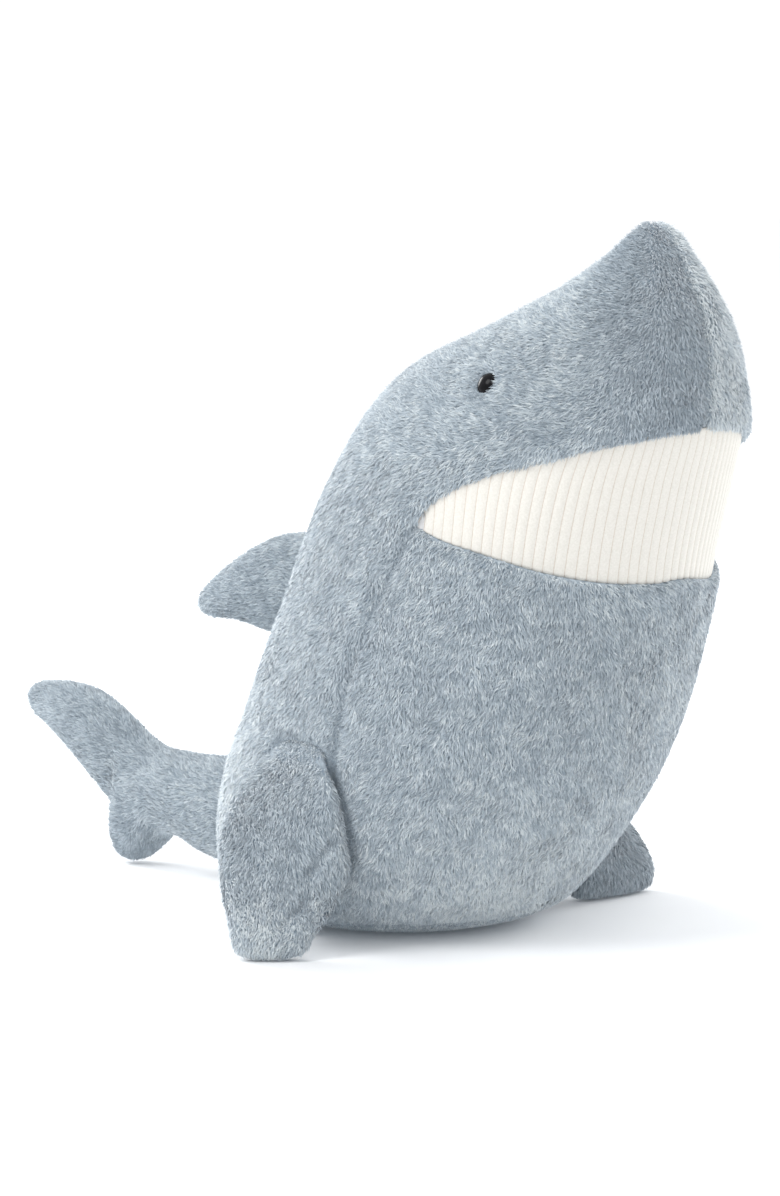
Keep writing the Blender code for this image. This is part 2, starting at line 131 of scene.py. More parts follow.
# Locks turn aside together in swirls of this size, and each a little by itself, in radians
SWIRL_SIZE, SWIRL, STRAY_TURN = 7, 1.5, 0.35
# Locks bend flat this far above the floor
FLOOR_GAP = 0.05
# The pile is shorter by these shares on a seam and where a fin presses on it, and left out where less
# than the last share remains
SEAM_TRIM, PRESS_TRIM, SHORTEST = 0.45, 0.3, 0.05
# On the head the pile lies backwards from these angles on, less so again towards the spine
HEAD_HEIGHTS, HEAD_SIDES, HEAD_REAR = (170, 205), (25, 60), (110, 165)

# The tones of the pile, dark to pale, and their shares
SHADES = ("slate", "deep", "middle", "light", "frost")
SHADE_SHARES = (0.13, 0.24, 0.32, 0.21, 0.10)
# Tones come in small and large clumps, each with size and strength, with stray locks among them
SMALL_CLUMPS, LARGE_CLUMPS, STRAY_TONE = (1.2, 1.1), (4.5, 0.5), 0.3
# The snout's pile is painted paler on the left of its seam and darker on the right, as painted light
# and shade: where the snout is, and shift of tone and fade to each side
SNOUT_HEIGHTS, SNOUT_FORWARD = (186, 198), (78, 100)
SNOUT_LEFT, SNOUT_LEFT_FADE = 0.42, (16, 34)
SNOUT_RIGHT, SNOUT_RIGHT_FADE = -0.44, (8, 46)
# Painted shade: seams are painted darker, and so is the pile round the eyes: reach and shift
SEAM_PAINTED_SHADE = -0.2
EYE_PAINTED_SHADE = (5, -0.6)
# The painted shade along a seam is this wide. Along a fin's line on the body it is wider and this many
# times as strong.
SEAM_LINE, PRESS_LINE, PRESS_SHADE_AND_TRIM = 1.8, 2.2, 4
# Painted light (+) and painted shade (-) on the pile: paler where more light falls, as low on the belly
# and at the near fin's foot, darker where less falls, as on the far fin and the tail's lower lobe: place,
# reach, and shift of its tone
PAINTED_LIGHT_SPOTS = (
    ((-10, -32, 14), 42, 0.42),
    ((-60, 70, 58), 32, 0.42),
    ((-20, -75, 246), 34, 0.14),
    ((25, -85, 95), 28, 0.15),
    ((-68, -25, 105), 30, -0.1),
    ((-90, 10, 40), 24, -0.16),
    ((-98, 6, 4), 14, 0.75),
    ((90, 0, 20), 30, -0.4),
    ((0, 215, 45), 60, -0.16),
    ((0, 125, 118), 34, -0.16),
    ((0, 195, 6), 16, -0.45),
)

# Eyes
EYE_ANGLE, EYE_HEIGHT = 84, 213
BEAD_RADIUS, BEAD_DOME, BEAD_SEAT = 4.3, 2.6, 2.8
# The pile leaves a slit over each eye: half length, half width, and how far its top leans forwards
SLIT_LENGTH, SLIT_WIDTH, SLIT_LEAN = 4.3, 2.05, 24
SHANK_RADIUS, SHANK_END = 1.6, 12

# Stuffed parts, close to the CAD's. Each row is a chord: leading end, trailing end, and half thickness
# to the left or outer side and to the right or inner side. The first rows run on into the body, where
# the root is sewn in. Dorsal fin and tail: forward and height of both ends.
DORSAL_FIN = (
    (-50, 140, -72, 100, 5, 5),
    (-61.5, 144, -83, 97, 6.5, 6.5),
    (-72, 145, -91, 98, 8, 8),
    (-89, 143, -103, 100.5, 10, 10),
    (-104, 140.5, -113, 102, 11.5, 11.5),
    (-119, 134.5, -121.5, 103.5, 11.5, 11.5),
    (-131, 127.8, -130.5, 104.5, 10.5, 10.5),
    (-141, 121, -139, 104.3, 9, 9),
    (-147.2, 115.8, -145.5, 105, 7, 7),
    (-150, 111.3, -149, 107.5, 3, 3),
)
TAIL = (
    (-94, 50, -94, 8, 11, 11),
    (-102, 51, -102, 6, 13, 13),
    (-110, 51, -110, 5.5, 14, 14),
    (-122, 51, -122, 6, 15, 15),
    (-135, 50.3, -135, 7.5, 15.5, 15.5),
    (-148, 49.3, -148, 10, 15.5, 15.5),
    (-160, 49, -161, 14, 15, 15),
    (-168, 49.2, -173.5, 13.5, 14, 14),
    (-173, 49.5, -184, 5.5, 13.5, 13.5),
    (-178, 50.3, -191.5, 0.9, 13, 13),
    (-183, 52, -198, 0.9, 12.5, 12.5),
    (-188, 54.3, -201.5, 5, 11.5, 11.5),
    (-193, 57.2, -198, 11.5, 10.5, 10.5),
    (-199, 60.3, -194, 17, 10, 10),
    (-208, 64.3, -204, 24, 11.5, 11.5),
    (-222, 69, -218, 34.5, 12, 12),
    (-234, 70, -230.5, 43, 11, 11),
    (-245, 69.3, -242.5, 49.8, 9.5, 9.5),
    (-253.5, 67.5, -252, 55, 7, 7),
    (-257, 64, -257, 60, 3, 3),
)
# The tail's filling stays out of the lower lobe, so that none shows at the fold over the notch
TAIL_FILLING = (*TAIL[2:8], (-188, 54, -190, 20, 11, 11), *TAIL[14:-1])
# Pectoral fin: height, then distance out and forward of both ends
PECTORAL_FIN = (
    (84, 71.5, 0, 70.5, -13, 2.5, 2.5),
    (78, 75.6, 2.5, 75.2, -18, 3, 3),
    (72.5, 78.5, 7.5, 79.2, -22.8, 3.4, 3),
    (67, 79.5, 11.3, 83, -26.2, 5, 3.4),
    (61, 78.5, 13.3, 87.5, -28.2, 7.2, 3.7),
    (55, 76.3, 13.6, 92.3, -28.5, 8.8, 4.1),
    (48, 73.9, 12.7, 97.5, -27.5, 9.6, 4.8),
    (41, 71.6, 11.8, 101.8, -25.5, 10, 5.8),
    (32, 69.1, 10.2, 106, -21.5, 10, 7),
    (24, 70, 6.8, 108.3, -17.5, 9.6, 7.6),
    (16, 75.5, 7.2, 109.8, -13, 8.8, 7.4),
    (8.5, 84.5, 7.6, 109.8, -11, 7.8, 6.5),
    (3.5, 88.5, 7.4, 108, -10.5, 6.4, 5.4),
    (1.2, 92, 5, 105.5, -9, 4.8, 4.4),
)
# Creases in the right pectoral fin's outer side: out, forward and height of both ends, and depth
CREASES = (
    (86, 6, 32, 80.5, 10.5, 43, 1.7),
    (97.5, 3.5, 13.5, 88.5, 5.5, 21, 1.3),
)
CREASE_SPREAD = 2.4
# The left pectoral fin has sunk a little and its foot is spread by the floor
SUNK_FIN = (
    (84, 71.5, 0, 70.5, -13, 2.5, 2.5),
    (78, 75.6, 2.5, 75.2, -18, 3, 3),
    (72, 78.5, 7.5, 79.2, -22.8, 3.4, 3),
    (66, 79.2, 11.3, 83, -26.2, 5, 3.4),
    (60, 78, 13.6, 87, -28.2, 7, 3.7),
    (53, 75.8, 13, 90.5, -28.5, 8.2, 4),
    (46.5, 74, 12, 94, -28.3, 8.5, 4.6),
    (36.5, 70.5, 8, 99.5, -27, 7.5, 6.5),
    (28, 67.5, 3, 103.5, -23.5, 6.2, 8.5),
    (21, 65.5, -2.5, 106.5, -18, 7.6, 9),
    (14, 65, -7, 108, -13.5, 9.4, 9.5),
    (8, 65, -9, 108.5, -11, 9.6, 9),
    (4, 65.5, -10, 107.5, -10.2, 8.6, 8),
    (1.4, 67, -11, 105.5, -10, 7, 6.5),
)
# Where each part's bend at its root starts and ends. Pectoral fin: distance out and height.
PECTORAL_BEND = ((82.6, 80), (82.6, 66))
DORSAL_BEND = ((0, 68, 122), (0, 90, 119))
TAIL_BEND = ((0, 106, 28), (0, 141, 28))
# How far cover and filling start inside the part's outline, and how far the cover swells out again
FIN_INSET, FILLING_INSET = 1.7, 3.6
SWELL, SWELL_FRAMES = 1.6, 20
# Least half thickness of a cover or filling
THINNEST = 0.6
# Shape of a part's sections, from 0, a box, to 1, an ellipse
PECTORAL_BLUNT, FLAT_BLUNT = 0.62, 0.85
# The line where a part meets the body is painted darker, as painted shade, over this distance from the
# body and past the first share of the part's rows, which is inside
ROOT_SHADE_AND_TRIM, ROOT_REACH, ROOT_SHARE = 2.2, (0.3, 2.8), 0.16


# ---------------------------------------------------------------- curves and the body surface


def smooth(knots, values, at):
    """Values at the given places of a smooth curve through (knots, values)."""
    knots = np.asarray(knots, float)
    values = np.asarray(values, float)
    step = np.diff(knots)
    rise = np.diff(values) / step
    between = (step[1:] * rise[:-1] + step[:-1] * rise[1:]) / (step[1:] + step[:-1])
    slope = np.concatenate([rise[:1], between, rise[-1:]])
    i = np.clip(np.searchsorted(knots, at, side="right") - 1, 0, len(knots) - 2)
    x = (at - knots[i]) / step[i]
    ends = (2 * x**3 - 3 * x**2 + 1) * values[i] + (3 * x**2 - 2 * x**3) * values[i + 1]
    return ends + step[i] * ((x**3 - 2 * x**2 + x) * slope[i] + (x**3 - x**2) * slope[i + 1])


def lengths(points):
    """Distance along a chain of points, starting at 0."""
    return np.concatenate([[0], np.cumsum(np.linalg.norm(np.diff(points, axis=0), axis=1))])


def unit(vectors):
    size = np.linalg.norm(vectors, axis=-1, keepdims=True)
    return vectors / np.maximum(size, 1e-9)


def ramp(low, high, values):
    """0 below low, 1 above high, and a smooth step between them."""
    t = np.clip((values - low) / (high - low), 0, 1)
    return t * t * (3 - 2 * t)


def body_table():
    """The body's rows carried on over the nose tip as their mirror image, and the distance up them."""
    beyond = BODY[[-2, -3]]
    beyond[:, [FRONT, BACK]] = beyond[:, [BACK, FRONT]]
    beyond[:, HALF_WIDTH] *= -1
    beyond[:, WIDEST] = 2 * BODY[-1, WIDEST] - beyond[:, WIDEST]
    rows = np.vstack([BODY, beyond])
    radius = (rows[:, FRONT] - rows[:, BACK] + 2 * rows[:, HALF_WIDTH]) / 4
    return rows, lengths(np.column_stack([rows[:, HEIGHT], radius]))


ROWS, UP = body_table()
TOP = UP[len(BODY) - 1]
FINE = np.linspace(0, TOP, 3000)
FINE_HEIGHT = np.maximum.accumulate(smooth(UP, ROWS[:, HEIGHT], FINE))


def up_at(height):
    """Distance up the body's surface at this height."""
    return np.interp(height, FINE_HEIGHT, FINE)


def surface(up, angle):
    """Point of the body's outer surface, in millimetres."""
    up, angle = np.broadcast_arrays(np.asarray(up, float), np.radians(angle))
    height, front, back, half, widest = (smooth(UP, ROWS[:, k], up) for k in range(5))
    reach = np.where(np.cos(angle) >= 0, front - widest, widest - back)
    return np.stack([half * np.sin(angle), -widest - reach * np.cos(angle), height], -1)


def body_frame(up, angle):
    """Points of the body's outer surface with the outward normal and the directions up and round it."""
    up = np.minimum(up, TOP - TIP_GAP)
    along = unit(surface(up + 0.4, angle) - surface(up - 0.4, angle))
    across = unit(surface(up, angle + 0.5) - surface(up, angle - 0.5))
    normal = unit(np.cross(across, along))
    return surface(up, angle), normal, along, across


def along_seam(points, count):
    """(angle, distance up) at evenly spaced places of a smooth curve through a seam's points."""
    points = np.asarray(points, float)
    travel = lengths(points)
    at = np.linspace(0, travel[-1], count)
    return np.column_stack([smooth(travel, points[:, 0], at), up_at(smooth(travel, points[:, 1], at))])


def lip_up(lip, angle):
    """Distance up the body at which a lip stands, by angle from straight ahead."""
    points = along_seam(lip, 60)[::-1]
    up = np.interp(np.abs(angle), points[:, 0], points[:, 1])
    if lip is LOWER_LIP:
        start, full, less, end = LIP_DROOP_ANGLES
        up = up - LIP_DROOP * ramp(start, full, angle) * (1 - ramp(less, end, angle))
    return up


# ---------------------------------------------------------------- noise, distance and meshes


def value_noise(points, size, seed):
    """Smooth noise from 0 to 1 with features of this size."""
    cells = 32
    lattice = np.random.default_rng(seed).random((cells, cells, cells))
    at = points / size
    base = np.floor(at).astype(int)
    part = at - base
    part = part * part * (3 - 2 * part)
    total = 0
    for corner in np.ndindex(2, 2, 2):
        index = (base + corner) % cells
        weight = np.prod(np.where(corner, part, 1 - part), axis=1)
        total = total + weight * lattice[index[:, 0], index[:, 1], index[:, 2]]
    return total


def nearest(points, targets):
    """Distance from each point to the nearest of the targets."""
    tree = KDTree(len(targets))
    for i, target in enumerate(targets):
        tree.insert(target, i)
    tree.balance()
    flat = points.reshape(-1, 3)
    return np.array([tree.find(p)[2] for p in flat]).reshape(points.shape[:-1])


def new_object(name, points, faces, material):
    """A smooth-shaded mesh object from points in millimetres and lists of faces."""
    mesh = bpy.data.meshes.new(name)
    mesh.from_pydata((np.asarray(points) * MM).tolist(), [], faces)
    mesh.materials.append(material)
    mesh.shade_smooth()
    obj = bpy.data.objects.new(name, mesh)
    bpy.context.scene.collection.objects.link(obj)
    return obj


def grid_faces(rows, columns, wrap=False):
    """Quads of a grid of points, joined round its last column if wrap is set."""
    at = np.arange(rows * columns).reshape(rows, columns)
    if wrap:
        at = np.column_stack([at, at[:, :1]])
    corners = (at[:-1, :-1], at[:-1, 1:], at[1:, 1:], at[1:, :-1])
    return np.stack([c.ravel() for c in corners], axis=1)


def facing_out(points, faces, normals):
    """The faces, turned round if they look away from the normals."""
    a, b, c = (points[faces[:, k]] for k in range(3))
    looks = (np.cross(b - a, c - a) * normals[faces[:, 0]]).sum()
    return faces if looks > 0 else faces[:, ::-1]


def vertex_normals(points, faces):
    a, b, c, d = (points[faces[:, k]] for k in range(4))
    flat = np.cross(c - a, d - b)
    total = np.zeros_like(points)
    for k in range(4):
        np.add.at(total, faces[:, k], flat)
    return unit(total)


# ---------------------------------------------------------------- materials


def principled(name, roughness, sheen=0.0):
    material = bpy.data.materials.new(name)
    material.use_nodes = True
    shader = material.node_tree.nodes["Principled BSDF"]
    shader.inputs["Roughness"].default_value = roughness
    shader.inputs["Sheen Weight"].default_value = sheen
    return material, shader


def node(material, kind, **settings):
    made = material.node_tree.nodes.new(kind)
    for key, value in settings.items():
        if key in made.inputs:
            made.inputs[key].default_value = value
        else:
            setattr(made, key, value)
    return made


def link(material, source, socket, target, into):
    material.node_tree.links.new(source.outputs[socket], target.inputs[into])


def mottled(name, colours, size, roughness, bump=0.0, stretch=(1, 1, 1), sheen=0.0):
    """A material whose colour wanders between two tones, with a fine bump of the same grain."""
    material, shader = principled(name, roughness, sheen)
    place = node(material, "ShaderNodeTexCoord")
    scale = node(material, "ShaderNodeMapping", Scale=stretch)
    link(material, place, "Object", scale, "Vector")
    noise = node(material, "ShaderNodeTexNoise", Scale=1 / (size * MM), Detail=4)
    link(material, scale, "Vector", noise, "Vector")
    tones = node(material, "ShaderNodeValToRGB")
    tones.color_ramp.elements[0].position = 0.35
    tones.color_ramp.elements[0].color = (*colours[0], 1)
    tones.color_ramp.elements[1].position = 0.65
    tones.color_ramp.elements[1].color = (*colours[1], 1)
    link(material, noise, "Fac", tones, "Fac")
    link(material, tones, "Color", shader, "Base Color")
    if bump:
        relief = node(material, "ShaderNodeBump", Strength=0.6, Distance=bump * MM)
        link(material, noise, "Fac", relief, "Height")
        link(material, relief, "Normal", shader, "Normal")
    return material


def lock_material(shade, colour):
    """One tone of the heathered pile. Each lock takes one tone, and the mix gives the pattern."""
    material, shader = principled("pile_" + shade, 0.9, 0.6)
    shader.inputs["Base Color"].default_value = (*colour, 1)
    shader.inputs["Sheen Roughness"].default_value = 0.6
    return material


PILE_COLOURS = {
    "slate": (0.27, 0.325, 0.375),
    "deep": (0.345, 0.41, 0.465),
    "middle": (0.43, 0.495, 0.55),
    "light": (0.525, 0.59, 0.632),
    "frost": (0.64, 0.695, 0.72),
}
PILE = {shade: lock_material(shade, colour) for shade, colour in PILE_COLOURS.items()}
HEATHER = ((0.24, 0.30, 0.36), (0.46, 0.53, 0.59))
COVER_CLOTH = mottled("heather_cloth", HEATHER, 1.6, 0.95, 0.3, (1, 1, 0.35), 0.2)
RIB_CLOTH = mottled("cream_rib", ((0.645, 0.625, 0.575), (0.705, 0.685, 0.64)), 0.7, 0.9, 0.1, sheen=0.2)
# Painted shade in the grooves between the ribs: a darker strip of the cream cloth
GROOVE_PAINTED_SHADE = mottled("rib_groove_painted_shade", ((0.55, 0.49, 0.43), (0.61, 0.55, 0.49)), 0.7, 0.95, 0.1)
FIBRE = mottled("filling_fibre", ((0.82, 0.82, 0.82), (0.93, 0.93, 0.93)), 3, 1.0, 1.0)
WASHER = mottled("washer_plastic", ((0.78, 0.78, 0.78), (0.82, 0.82, 0.83)), 2, 0.45, 0.02)
POUCH = mottled("pouch_cloth", ((0.74, 0.72, 0.67), (0.82, 0.80, 0.76)), 0.8, 0.9, 0.15)
BEANS = mottled("bean_plastic", ((0.6, 0.6, 0.6), (0.8, 0.8, 0.8)), 3, 0.5, 1.2)
BEAD = mottled("black_eye", ((0.004, 0.004, 0.005), (0.008, 0.008, 0.01)), 1.5, 0.14)
BEAD.node_tree.nodes["Principled BSDF"].inputs["Specular IOR Level"].default_value = 0.1


# ---------------------------------------------------------------- pile


def scatter(points, faces, normals, nap, seam, density):
    """Evenly random places on a surface, with the normal, pile direction and nearness of a seam at each."""
    triangles = np.vstack([faces[:, [0, 1, 2]], faces[:, [0, 2, 3]]])
    a, b, c = (points[triangles[:, k]] for k in range(3))
    area = np.linalg.norm(np.cross(b - a, c - a), axis=1) / 2
    edges = np.cumsum(area)
    count = int(edges[-1] * density)
    # One lock to each equal share of the area, so that the cover is even
    shares = (np.arange(count) + rng.random(count)) / count * edges[-1]
    chosen = np.minimum(np.searchsorted(edges, shares), len(area) - 1)
    u, v = rng.random((2, count))
    over = u + v > 1
    u[over], v[over] = 1 - u[over], 1 - v[over]
    weight = np.stack([1 - u - v, u, v], axis=1)[..., None]
    corners = triangles[chosen]
    place, normal, lie, seam = (
        (values[corners] * weight).sum(axis=1) for values in (points, normals, nap, seam[:, None])
    )
    return place, unit(normal), lie, seam[:, 0]


def locks(place, normal, lie, length):
    """Corners of two-triangle leaf-shaped locks that rise from the cloth and bend over along the pile."""
    count = len(place)
    lie = unit(lie - (lie * normal).sum(axis=1, keepdims=True) * normal)
    side = np.cross(normal, lie)
    swirl = (value_noise(place, SWIRL_SIZE, 3) - 0.5) * SWIRL + rng.normal(0, STRAY_TURN, count)
    swirl = swirl[:, None]
    lie, side = lie * np.cos(swirl) + side * np.sin(swirl), side * np.cos(swirl) - lie * np.sin(swirl)
    long = (LOCK_LENGTH * length * rng.uniform(*LOCK_SIZES, count))[:, None]
    rise = np.radians(rng.normal(*LOCK_RISE, count))[:, None]
    over = np.radians(rng.normal(*LOCK_LIE, count))[:, None]
    roll = rng.normal(0, LOCK_ROLL, count)[:, None]
    wide = LOCK_WIDTH / 2 * rng.uniform(*LOCK_SIZES, count)[:, None]
    root = place - normal * LOCK_ROOT
    middle = place + long * LOCK_BEND * (lie * np.cos(rise) + normal * np.sin(rise))
    tip = middle + long * (1 - LOCK_BEND) * (lie * np.cos(over) + normal * np.sin(over))
    across = (side * np.cos(roll) + normal * np.sin(roll)) * wide
    corners = np.stack([root, middle - across, middle + across, tip], axis=1)
    corners[..., 2] = np.maximum(corners[..., 2], FLOOR_GAP)
    return corners


def painted_light_shift(place, seam):
    """Painted light and shade as a shift of the pile's tone by place: the snout's two sides, the seams, the
    eyes and the spots.
    """
    x, y, z = place.T
    # Painted light on the snout left of its seam, painted shade on its right
    left = SNOUT_LEFT * (1 - ramp(*SNOUT_LEFT_FADE, x))
    right = SNOUT_RIGHT * (1 - ramp(*SNOUT_RIGHT_FADE, -x))
    shift = ramp(*SNOUT_HEIGHTS, z) * ramp(*SNOUT_FORWARD, -y) * np.where(x > 0, left, right)
    # Painted shade along seams, creases and where parts meet the body, and round the eyes
    shift += SEAM_PAINTED_SHADE * seam
    painted_eye_shade = [(eye_point, *EYE_PAINTED_SHADE) for eye_point, _ in EYES.values()]
    for spot, reach, change in (*PAINTED_LIGHT_SPOTS, *painted_eye_shade):
        shift += change * np.exp(-(((place - spot) / reach) ** 2).sum(axis=1))
    return shift


def shade_of(place, seam):
    """Index of each lock's tone."""
    (small, small_strength), (large, large_strength) = SMALL_CLUMPS, LARGE_CLUMPS
    tone = (value_noise(place, small, 11) - 0.5) * small_strength
    tone += (value_noise(place, large, 12) - 0.5) * large_strength + rng.normal(0, STRAY_TONE, len(place))
    order = np.argsort(np.argsort(tone)) / len(tone) + painted_light_shift(place, seam)
    return np.searchsorted(np.cumsum(SHADE_SHARES)[:-1], order)


def pile_objects(name, cover, finish):
    """One object for each tone of the pile over a cover, each passed to finish."""
    fields = (cover[field] for field in ("points", "faces", "normals", "nap", "seam"))
    place, normal, lie, seam = scatter(*fields, DENSITY)
    trim = SEAM_TRIM * np.minimum(seam, 1) + PRESS_TRIM * ramp(1, 2.5, seam)
    length = cover["length"](place) * (1 - trim)
    keep = length > SHORTEST
    corners = locks(place[keep], normal[keep], lie[keep], length[keep])
    shade = shade_of(place[keep], seam[keep])
    for k, tone in enumerate(SHADES):
        chosen = corners[shade == k]
        start = np.arange(len(chosen))[:, None] * 4
        faces = np.concatenate([start + (0, 2, 1), start + (1, 2, 3)])
        mesh = bpy.data.meshes.new(f"{name}_pile_{tone}")
        mesh.vertices.add(len(chosen) * 4)
        mesh.vertices.foreach_set("co", (chosen * MM).astype(np.float32).ravel())
        mesh.loops.add(faces.size)
        mesh.loops.foreach_set("vertex_index", faces.astype(np.int32).ravel())
        mesh.polygons.add(len(faces))
        mesh.polygons.foreach_set("loop_start", np.arange(0, faces.size, 3, dtype=np.int32))
        mesh.update(calc_edges=True)
        mesh.materials.append(PILE[tone])
        obj = bpy.data.objects.new(mesh.name, mesh)
        bpy.context.scene.collection.objects.link(obj)
        finish(obj)


# ---------------------------------------------------------------- the shapes of fins and tail


def flat_rows(table):
    """Chords of a part in the middle plane, with both ends as points."""
    table = np.asarray(table, float)
    middle = np.zeros(len(table))
    lead, trail = (middle, -table[:, 0], table[:, 1]), (middle, -table[:, 2], table[:, 3])
    return np.column_stack([*lead, *trail, table[:, 4:]])


def hanging_rows(table, side):
    """Chords of a pectoral fin, each at one height, with both ends as points."""
    table = np.asarray(table, float)
    height = table[:, 0]
    lead = (side * table[:, 1], -table[:, 2], height)
    trail = (side * table[:, 3], -table[:, 4], height)
    return np.column_stack([*lead, *trail, table[:, 5:]])


def stuffed_grid(table, axis, rows, columns, blunt, inset):
    """Rings of points round a stuffed part, from the root inside the body to its tip.

    The thickness is square to the chords and to the axis. The less blunt is, the fuller are the edges.
    """
    travel = lengths((table[:, 0:3] + table[:, 3:6]) / 2)
    at = np.linspace(0, travel[-1], rows)
    chords = np.column_stack([smooth(travel, column, at) for column in table.T])
    turn = np.linspace(0, 2 * np.pi, columns, endpoint=False)
    bulge = np.sign(np.sin(turn)) * np.abs(np.sin(turn)) ** blunt
    rings = []
    for row in chords:
        lead, trail, left, right = row[0:3], row[3:6], *row[6:8]
        inwards = (trail - lead) / np.linalg.norm(trail - lead)
        out = np.cross(inwards, axis)
        out /= np.linalg.norm(out)
        lead, trail = lead + inwards * inset, trail - inwards * inset
        # Thin sections are inset less
        half = np.where(bulge > 0, left, right)
        half = np.maximum(half - inset * np.minimum(1, half / 6), THINNEST) * bulge
        place = (lead + trail) / 2 + (lead - trail) / 2 * np.cos(turn)[:, None]
        rings.append(place + half[:, None] * out)
    # A small ring nearly closes each end
    ends = [ring.mean(axis=0) * 0.96 + ring * 0.04 for ring in (rings[0], rings[-1])]
    return np.vstack([ends[0], *rings, ends[1]]), rows + 2


def outside_body(points):
    """Rough distance of each point outside the body's surface, negative inside it."""
    up = up_at(np.clip(points[:, 2], 0, BODY[-1, HEIGHT] - 1))
    front, back, half, widest = (smooth(UP, ROWS[:, k], up) for k in (FRONT, BACK, HALF_WIDTH, WIDEST))
    ahead = -points[:, 1] - widest
    reach = np.where(ahead >= 0, front - widest, widest - back)
    return (np.hypot(points[:, 0] / half, ahead / reach) - 1) * np.minimum(half, reach)


FIN_SKINS = np.vstack(
    [
        stuffed_grid(hanging_rows(fin, side), (0, 0, side), 60, 60, PECTORAL_BLUNT, 0.5)[0]
        for fin, side in ((PECTORAL_FIN, -1), (SUNK_FIN, 1))
    ]
)


# ---------------------------------------------------------------- body covers


SIDE_LINE = along_seam(SIDE_SEAM, 160)
SEAM_LINES = np.vstack(
    [
        surface(SIDE_LINE[:, 1], SIDE_LINE[:, 0]),
        surface(SIDE_LINE[:, 1], -SIDE_LINE[:, 0]),
        surface(np.linspace(up_at(BASE_SEAM), TOP, 160), 180.0),
        surface(np.linspace(up_at(UPPER_LIP[-1][1]), TOP, 160), 0.0),
        surface(up_at(BASE_SEAM), np.linspace(0, 360, 300)),
    ]
)
LIP_TURN = np.linspace(-MOUTH_CORNER[0], MOUTH_CORNER[0], 400)
LIP_LINES = np.vstack([surface(lip_up(lip, LIP_TURN), LIP_TURN) for lip in (UPPER_LIP, LOWER_LIP)])
# Place and outward normal of each eye
EYES = {
    "right": body_frame(up_at(EYE_HEIGHT), -EYE_ANGLE)[:2],
    "left": body_frame(up_at(EYE_HEIGHT), EYE_ANGLE)[:2],
}


def body_cover(up, angle, lies_back):
    """A panel of the cover from its grid of (distance up, angle), with seams, lips and eyes drawn in.

    The pile lies down the body. On the head it lies back as well, as far as lies_back says, from 0 to 1.
    """
    flat, normal, along, across = body_frame(up, angle)
    seam, lip = nearest(flat, SEAM_LINES), nearest(flat, LIP_LINES)
    eye = nearest(flat, [point for point, _ in EYES.values()])
    pressed = nearest(flat, FIN_SKINS)
    ease = 1 - NOSE_EASE * ramp(*NOSE_HEIGHTS, flat[..., 2])
    depth = SKIN_DEPTH + SEAM_DIP * ease * np.exp(-((seam / SEAM_SPREAD) ** 2))
    curl = np.clip(1 - lip / LIP_SPREAD, 0, 1)
    depth += LIP_DIP * (1 - np.sqrt(1 - np.minimum(curl, 0.999) ** 2))
    depth += EYE_DIP * np.exp(-((eye / EYE_SPREAD) ** 2) * 2)
    depth += PRESS_DIP * np.exp(-((pressed / PRESS_SPREAD) ** 2))
    depth += value_noise(flat.reshape(-1, 3), LUMP_SIZE, 5).reshape(depth.shape) - 0.5
    points = flat - normal * depth[..., None]
    points[..., 2] = np.maximum(points[..., 2], SOLE_HEIGHT)
    head = lies_back * ramp(*HEAD_HEIGHTS, flat[..., 2]) * ramp(*HEAD_SIDES, np.abs(angle))
    head = (head * (1 - 0.75 * ramp(*HEAD_REAR, np.abs(angle))))[..., None]
    nap = across * np.sign(angle)[..., None] * head - along * (1 - 0.8 * head)
    # Painted shade, and shorter pile, along seams and along the fins' lines on the body
    line = np.exp(-((seam / SEAM_LINE) ** 2)) + PRESS_SHADE_AND_TRIM * np.exp(-((pressed / PRESS_LINE) ** 2))
    points, normal, nap = (values.reshape(-1, 3) for values in (points, normal, nap))
    faces = facing_out(points, grid_faces(*depth.shape), normal)
    return {
        "points": points,
        "faces": faces,
        "normals": vertex_normals(points, faces),
        "nap": nap,
        "seam": line.ravel(),
        "length": pile_length,
    }


def floor_trim(place, full):
    """Share of the full pile length by height: shorter near the floor, and full from this height on."""
    return 0.45 + 0.55 * ramp(1, full, place[:, 2])


def pile_length(place):
    """Share of the full pile length: shorter near the floor and round the eyes, and none over them."""
    share = np.ones(len(place))
    for point, normal in EYES.values():
        lean = np.radians(SLIT_LEAN)
        long = np.array((0, -np.sin(lean), np.cos(lean)))
        long = unit(long - (long @ normal) * normal)
        wide = np.cross(normal, long)
        away = place - point
        # Only on the eye's own side of the head
        near = np.abs(away @ normal) < 12
        slit = np.hypot(away @ long / SLIT_LENGTH, away @ wide / SLIT_WIDTH)
        share *= np.where(near, (0.6 + 0.4 * ramp(1.2, 2.6, slit)) * (slit > 1), 1)
    return share * floor_trim(place, 6)


def build_back(side):
    """One side of head and back: spine seam behind, side seam, upper lip and snout seam in front."""
    snout = np.linspace(up_at(UPPER_LIP[-1][1]), TOP - TIP_GAP, 44)
    front = np.vstack(
        [
            along_seam(SIDE_SEAM, 84)[:-1],
            along_seam(UPPER_LIP, 70)[:-1],
            np.column_stack([np.zeros(len(snout)), snout]),
        ]
    )
    spine_up = np.linspace(up_at(BASE_SEAM), TOP - TIP_GAP, len(front))
    # The grid is finer near its seams
    t = np.linspace(0, 1, 110)
    share = t - 0.1 * np.sin(2 * np.pi * t)
    angle = side * (180 + (front[:, :1] - 180) * share)
    up = spine_up[:, None] + (front[:, 1:] - spine_up[:, None]) * share
    return body_cover(up, angle, 1)


